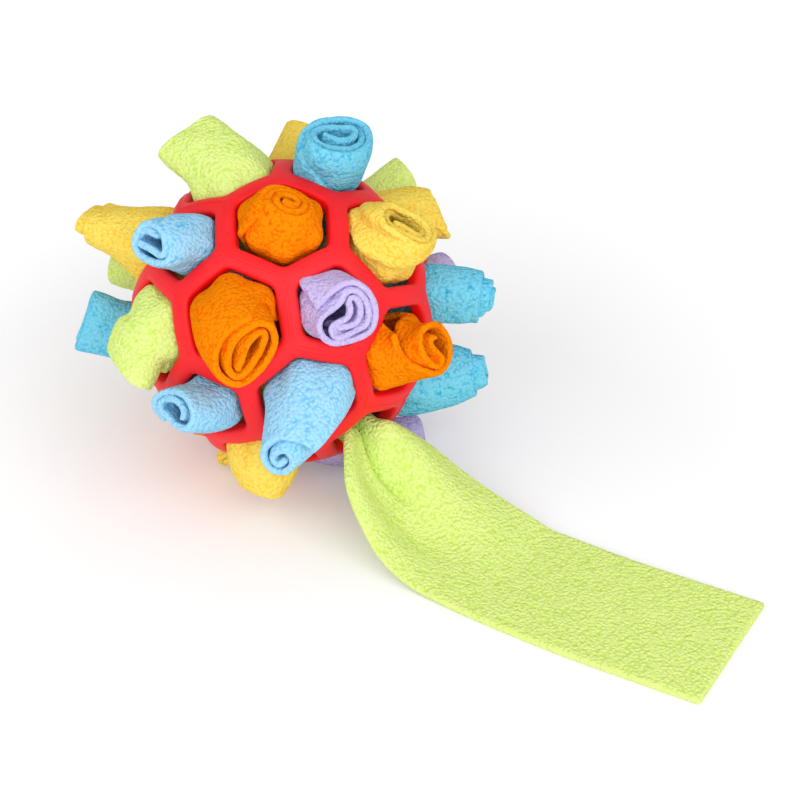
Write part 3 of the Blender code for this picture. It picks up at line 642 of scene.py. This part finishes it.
def rolled_strip(row, panel, shape):
    """Middle surface of a rolled strip, and half its thickness there.

    Each point of the cloth has an angle round the roll and a distance from its middle line,
    (1 - s) seat + s tip, with s from 0 at the hole to 1 at the point's own rim.  At the hole
    the winding is a spiral that loses a pitch in each turn.  Both are scaled so that the
    roll's radius goes by a parabola through its seat, half way and tip, over t from 0 at the
    hole to 1 at the tip.  Its middle line is a Hermite curve that leaves along the hole's axis
    and ends along the lean.
    """
    number, stand_out, across, up, half_way_radius, tip_radius = (row[0], *row[4:9])
    seat = PENTAGON_SEAT if len(panel) == 5 else HEXAGON_SEAT
    direction = panel.mean(axis=0) / np.linalg.norm(panel.mean(axis=0))
    level = np.cross((0.0, 0.0, 1.0), direction)
    level /= np.linalg.norm(level)
    rise = np.cross(direction, level)
    lean = direction + math.tan(math.radians(across)) * level + math.tan(math.radians(up)) * rise
    lean /= np.linalg.norm(lean)
    tilt_axis = np.cross(direction, lean)
    tilt_axis /= np.linalg.norm(tilt_axis)
    tilt = math.acos(direction @ lean)
    view = CAMERA_FROM_BALL - direction * HOLE_PLANE
    facing = math.atan2(view @ rise, view @ level)
    lengths, whole_length, (tip_x, tip_y, jut, polar, steady) = tip_points(row, shape, facing)

    reach_out = stand_out + SEAT_DEPTH
    tail = np.linspace(-TAIL_DEPTH, -SEAT_DEPTH, TAIL_ROWS)
    out = graded(0.0, reach_out, SPACING / (1.0 + 0.3 * tilt))[ROUND_STEPS:] - SEAT_DEPTH
    along = np.concatenate(((-TAIL_DEPTH, -TAIL_DEPTH + TAIL_END), tail[1:-1], out))[None, :]
    s = np.clip((along + SEAT_DEPTH) / reach_out, 0.0, 1.0)

    towards, slope, lift = shape["slant"]
    towards = facing + math.radians(towards)
    jut = jut + lift + math.tan(math.radians(slope)) * (
        tip_x * math.cos(towards) + tip_y * math.sin(towards))
    turns_in = np.abs(steady[-1] - steady) / (2.0 * math.pi)
    depth, over, full = shape["setback"]
    back = depth * ramp(turns_in, over, full) + np.maximum(-jut - HOLLOW, 0.0)
    rim = 1.0 - back / reach_out
    t = s * rim

    wound = (steady - steady[0]) / (steady[-1] - steady[0])
    angle = steady + s * (polar - steady) + math.radians(shape["skew"]) * (s - 1.0) * wound ** 3
    squeezed = seat["seat"] + (seat["tail"] - seat["seat"]) * np.clip(
        (-SEAT_DEPTH - along) / (TAIL_DEPTH - SEAT_DEPTH), 0.0, 1.0)
    pitch = np.minimum(PITCH, (squeezed - 0.5 * CLOTH - OPEN_CORE) / turns_in[0])
    in_seat = squeezed - 0.5 * CLOTH - pitch * np.abs(angle[-1] - angle) / (2.0 * math.pi)

    def swelling(t):
        """Radius by the parabola through seat, half way and tip, over the straight line's."""
        return ((seat["seat"] * (2 * t * t - 3 * t + 1) + half_way_radius * (4 * t - 4 * t * t)
                 + tip_radius * (2 * t * t - t)) / ((1.0 - t) * seat["seat"] + t * tip_radius))

    radius = ((1.0 - s) * np.maximum(in_seat, LEAST_RADIUS)
              + s * np.hypot(tip_x, tip_y) / swelling(rim)) * swelling(t)
    corner = math.atan2(panel[0] @ rise, panel[0] @ level)
    filled = (1.0 - ramp(t, 0.0, 0.6)) * (1.0 - ramp(-along, SEAT_DEPTH, 0.5 * TAIL_DEPTH))
    radius = radius * (1.0 + 0.5 * seat["corners"] * filled
                       * (1.0 + np.cos(len(panel) * (angle - corner))))
    for at, share, spread, reach_share, depth in shape["dents"]:
        apart = np.angle(np.exp(1j * (angle - facing - math.radians(at))))
        radius = radius * (1.0 - depth * np.exp(-(apart / math.radians(spread)) ** 2
                                                - ((t - share) / reach_share) ** 2))
    x, y = radius * np.cos(angle), radius * np.sin(angle)

    start, end = -SEAT_DEPTH * direction, stand_out * lean
    length = np.linalg.norm(end - start)
    w = t[..., None]
    swung = tilt * ramp(t, 0.0, 1.0)
    surface = ((2 * w ** 3 - 3 * w ** 2 + 1) * start + (w ** 3 - 2 * w ** 2 + w) * direction * length
               + (3 * w ** 2 - 2 * w ** 3) * end + (w ** 3 - w ** 2) * lean * length
               + (HOLE_PLANE + np.minimum(along + SEAT_DEPTH, 0.0))[..., None] * direction
               + x[..., None] * turned_about(level, tilt_axis, swung)
               + y[..., None] * turned_about(rise, tilt_axis, swung)
               + (np.maximum(jut, -HOLLOW) * ramp(t, 0.3, 1.0))[..., None] * lean)
    sway = np.stack([drift(surface + number, SWAY_SIZE, 7 + axis) for axis in range(3)], axis=-1)
    surface = surface + SWAY * ramp(t, 0.0, 0.7)[..., None] * sway

    half = 0.5 * CLOTH * ((1.0 - t) * pitch / PITCH + t * shape["thin"])
    from_edge = np.minimum(lengths, whole_length - lengths)
    from_rim = np.minimum(along + TAIL_DEPTH, stand_out - along)
    return surface, half * rounded(from_edge) * rounded(from_rim)


def cloth_mesh(name, surface, half, nap_height, salt):
    """Closed cloth round a middle surface: each side stands off by half the thickness.

    The two sides share the points at the cloth's edges, where the thickness is 0.  The nap
    then moves every point along its side's normal, by 0.75 lumps + 0.45 slow noise - 0.5 of
    its height.  Attribute "nap" keeps 0.75 lumps + 0.45 slow noise, and "cut" is 1 at the
    cloth's edges.
    """
    along_u = np.gradient(surface, axis=0)
    along_v = np.gradient(surface, axis=1)
    normal = np.cross(along_u, along_v)
    normal /= np.maximum(np.linalg.norm(normal, axis=2), 1e-12)[..., None]
    sides, naps, cuts = [], [], []
    for sign in (1.0, -1.0):
        side = surface + sign * half[..., None] * normal
        lumps = nap_lumps(side, NAP_SIZE, salt)
        soft = 0.5 + 0.5 * drift(side, NAP_DRIFT, salt + 5)
        raised = 0.75 * lumps + 0.45 * soft - 0.5
        spread = np.clip(half / FULL_NAP, 0.0, 1.0)
        sides.append((side + sign * (nap_height * raised * spread)[..., None] * normal).reshape(-1, 3))
        naps.append(np.clip(raised + 0.5, 0.0, 1.0).reshape(-1))
        cuts.append(np.clip(1.0 - (half / (0.5 * CLOTH)) ** 2, 0.0, 1.0).reshape(-1))
    rows, columns = half.shape
    front = np.arange(rows * columns).reshape(rows, columns)
    back = front + rows * columns
    back[0], back[-1], back[:, 0], back[:, -1] = front[0], front[-1], front[:, 0], front[:, -1]

    def quads(index):
        return np.stack((index[:-1, :-1], index[1:, :-1], index[1:, 1:], index[:-1, 1:]), axis=-1)

    faces = np.concatenate((quads(front).reshape(-1, 4), quads(back)[..., ::-1].reshape(-1, 4)))
    mesh, used = mesh_from_grid(name, np.concatenate(sides) + ball_middle, faces)
    for kind, values in (("nap", naps), ("cut", cuts)):
        attribute = mesh.attributes.new(kind, "FLOAT", "POINT")
        attribute.data.foreach_set("value", np.concatenate(values)[used].astype(np.float32))
    return mesh


for row in ROLLS:
    number, colour, azimuth, elevation, stand_out = row[:5]
    panel = panels[int(np.argmax(panel_middles @ direction_of(azimuth, elevation)))]
    surface, half = rolled_strip(row, panel, {**PLAIN, **WOUND.get(number, {})})
    width = TAIL_DEPTH + stand_out
    mesh = cloth_mesh(f"rolled_strip_{number:02d}_{colour}", surface, half, NAP, 31 * number)
    roll = make_piece(mesh.name, mesh, fleece["sky blue" if number in DEEPER_BLUE_ROLLS else colour])
    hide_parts(f"fleece_roll_{number:02d}_{colour}")
    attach(roll, f"roll_{number:02d}")


# Open strip, a lime one that has been pulled out of its hole.  Its tail is bunched in the
# hole, with one deep fold where it leaves, and the rest lies flat on the floor.
OPEN_STRIP_HOLE = (-51, -31)  # azimuth and elevation of its hole
OPEN_STRIP_HEADING = -32.0  # azimuth that it runs off along
STRIP_WIDTH = 0.065
FOLDS = 1.5               # waves across its width where it is bunched
VALLEY = -0.10            # where a wave is lowest, as a share of the width from its middle
FLOOR_GAP = 0.0003        # how far the cloth's underside stays off the floor
# One sharp crease where it leaves the hole: how far across it lies, its depth, its width at the
# tail, how much that grows along the strip, and between which distances along it fades out.
CREASE = {"across": 0.0026, "depth": 0.0125, "width": 0.0030, "growth": 0.02,
          "fades": (0.029, 0.064)}
# Rows from the tail to the far end: how far along from the hole, how high its middle is, its
# width there, its shift sideways, the drop of its near edge, and the depth of its folds.
OPEN_STRIP_ROWS = [
    (-0.018, 0.0415, 0.0190, 0.0015, 0.0000, 0.0025),
    (-0.005, 0.0415, 0.0195, 0.0010, 0.0000, 0.0025),
    (0.002, 0.0380, 0.0290, -0.0035, 0.0025, 0.0045),
    (0.009, 0.0330, 0.0430, -0.0060, 0.0075, 0.0065),
    (0.018, 0.0222, 0.0560, -0.0038, 0.0072, 0.0060),
    (0.030, 0.0121, 0.0620, -0.0037, 0.0070, 0.0040),
    (0.045, 0.0066, 0.0645, -0.0046, 0.0052, 0.0020),
    (0.062, 0.0038, 0.0650, -0.0052, 0.0024, 0.0006),
    (0.082, 0.0014, 0.0650, -0.0055, 0.0000, 0.0000),
    (0.112, 0.0014, 0.0650, -0.0052, 0.0000, 0.0000),
    (0.142, 0.0014, 0.0650, -0.0032, 0.0000, 0.0000),
    (0.170, 0.0014, 0.0650, -0.0010, 0.0000, 0.0000),
]

fine_rows = smooth_rows(OPEN_STRIP_ROWS, 20)
run = np.concatenate(((0.0,), np.cumsum(np.hypot(np.diff(fine_rows[:, 0]), np.diff(fine_rows[:, 1])))))
lengths = graded(0.0, run[-1], SPACING)[:, None]
along, height, width, shift, drop, fold = (np.interp(lengths, run, column) for column in fine_rows.T)
cut = graded(-0.5 * STRIP_WIDTH, 0.5 * STRIP_WIDTH, SPACING)[None, :]
share = cut / STRIP_WIDTH
wave = -fold * np.cos(2.0 * math.pi * FOLDS * (share - VALLEY))
crease = CREASE["depth"] * np.exp(-np.abs((cut - CREASE["across"]) / (
    CREASE["width"] + CREASE["growth"] * lengths)) ** 1.5) * (1.0 - ramp(lengths, *CREASE["fades"]))
hole = panel_middles[np.argmax(panel_middles @ direction_of(*OPEN_STRIP_HOLE))] * HOLE_PLANE
surface = (hole + along[..., None] * direction_of(OPEN_STRIP_HEADING, 0.0)
           + (share * width + shift)[..., None] * direction_of(OPEN_STRIP_HEADING + 90.0, 0.0))
half = (0.5 * CLOTH * rounded(np.minimum(lengths, run[-1] - lengths))
        * rounded(0.5 * STRIP_WIDTH - np.abs(cut)))
lift = height + wave - crease + 2.0 * drop * share
surface[..., 2] = np.maximum(lift, half + FLOOR_GAP) - ball_middle[2]
mesh = cloth_mesh("opened_strip", surface, half, NAP, 977)
opened = make_piece("opened_strip", mesh, fleece["lime"])
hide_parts("open_fleece_strip")
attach(opened, "open_strip")


# Floor and light: a white studio sweep, lit by a broad lamp from each side of the camera, a
# low one beside it, and white light from all round.
FLOOR_SIZE = 8.0
floor_material, tree, shader = new_material("white_floor")
rays = add_node(tree, "ShaderNodeLightPath").outputs
seen = add_node(tree, "ShaderNodeMath", {0: rays["Is Camera Ray"], 1: rays["Is Glossy Ray"]},
                operation="MAXIMUM").outputs["Value"]
place = add_node(tree, "ShaderNodeTexCoord").outputs["Object"]
distance = add_node(tree, "ShaderNodeVectorMath", {0: place}, operation="LENGTH").outputs["Value"]
sweep = add_node(tree, "ShaderNodeMapRange", {
    "Value": distance, "From Min": 0.14, "From Max": 0.45,
    "To Min": 0.10, "To Max": 0.35}).outputs["Result"]
glow = add_node(tree, "ShaderNodeMath", {0: seen, 1: sweep}, operation="MULTIPLY").outputs["Value"]
feed(tree, shader, {
    "Base Color": (0.93, 0.93, 0.94, 1.0), "Roughness": 1.0, "Specular IOR Level": 0.0,
    "Emission Color": (1.0, 1.0, 1.0, 1.0), "Emission Strength": glow})
bpy.ops.mesh.primitive_plane_add(size=FLOOR_SIZE, location=(0.0, 0.0, 0.0))
floor = bpy.context.active_object
floor.name = "floor"
floor.data.materials.append(floor_material)

WORLD_STRENGTH = 0.60
world = bpy.data.worlds.new("studio")
bpy.context.scene.world = world
world.use_nodes = True
rays = add_node(world.node_tree, "ShaderNodeLightPath").outputs
seen = add_node(world.node_tree, "ShaderNodeMath", {
    0: rays["Is Camera Ray"], 1: 1.0 - WORLD_STRENGTH, 2: WORLD_STRENGTH}, operation="MULTIPLY_ADD")
feed(world.node_tree, world.node_tree.nodes["Background"], {
    "Color": (1.0, 1.0, 1.0, 1.0), "Strength": seen.outputs["Value"]})

LAMP_DISTANCE = 1.3
LAMP_WIDTH = 1.2
# One row for each lamp: its side, its azimuth and elevation in degrees, how tall its panel is,
# and its power in watts.
for side, azimuth, elevation, tall, watts in (("left", -140.0, 38.0, 0.9, 3.6),
                                              ("right", -60.0, 38.0, 0.9, 7.6),
                                              ("front", -100.0, 18.0, 0.6, 3.6)):
    lamp_data = bpy.data.lights.new(f"softbox_{side}", "AREA")
    lamp_data.shape = "RECTANGLE"
    lamp_data.size = LAMP_WIDTH
    lamp_data.size_y = tall
    lamp_data.energy = watts
    lamp = bpy.data.objects.new(f"softbox_{side}", lamp_data)
    lamp.matrix_world = (Matrix.Rotation(math.radians(azimuth + 90.0), 4, "Z")
                         @ Matrix.Rotation(math.radians(90.0 - elevation), 4, "X")
                         @ Matrix.Translation((0.0, 0.0, LAMP_DISTANCE)))
    bpy.context.scene.collection.objects.link(lamp)
bpy.context.scene.view_settings.view_transform = "Standard"
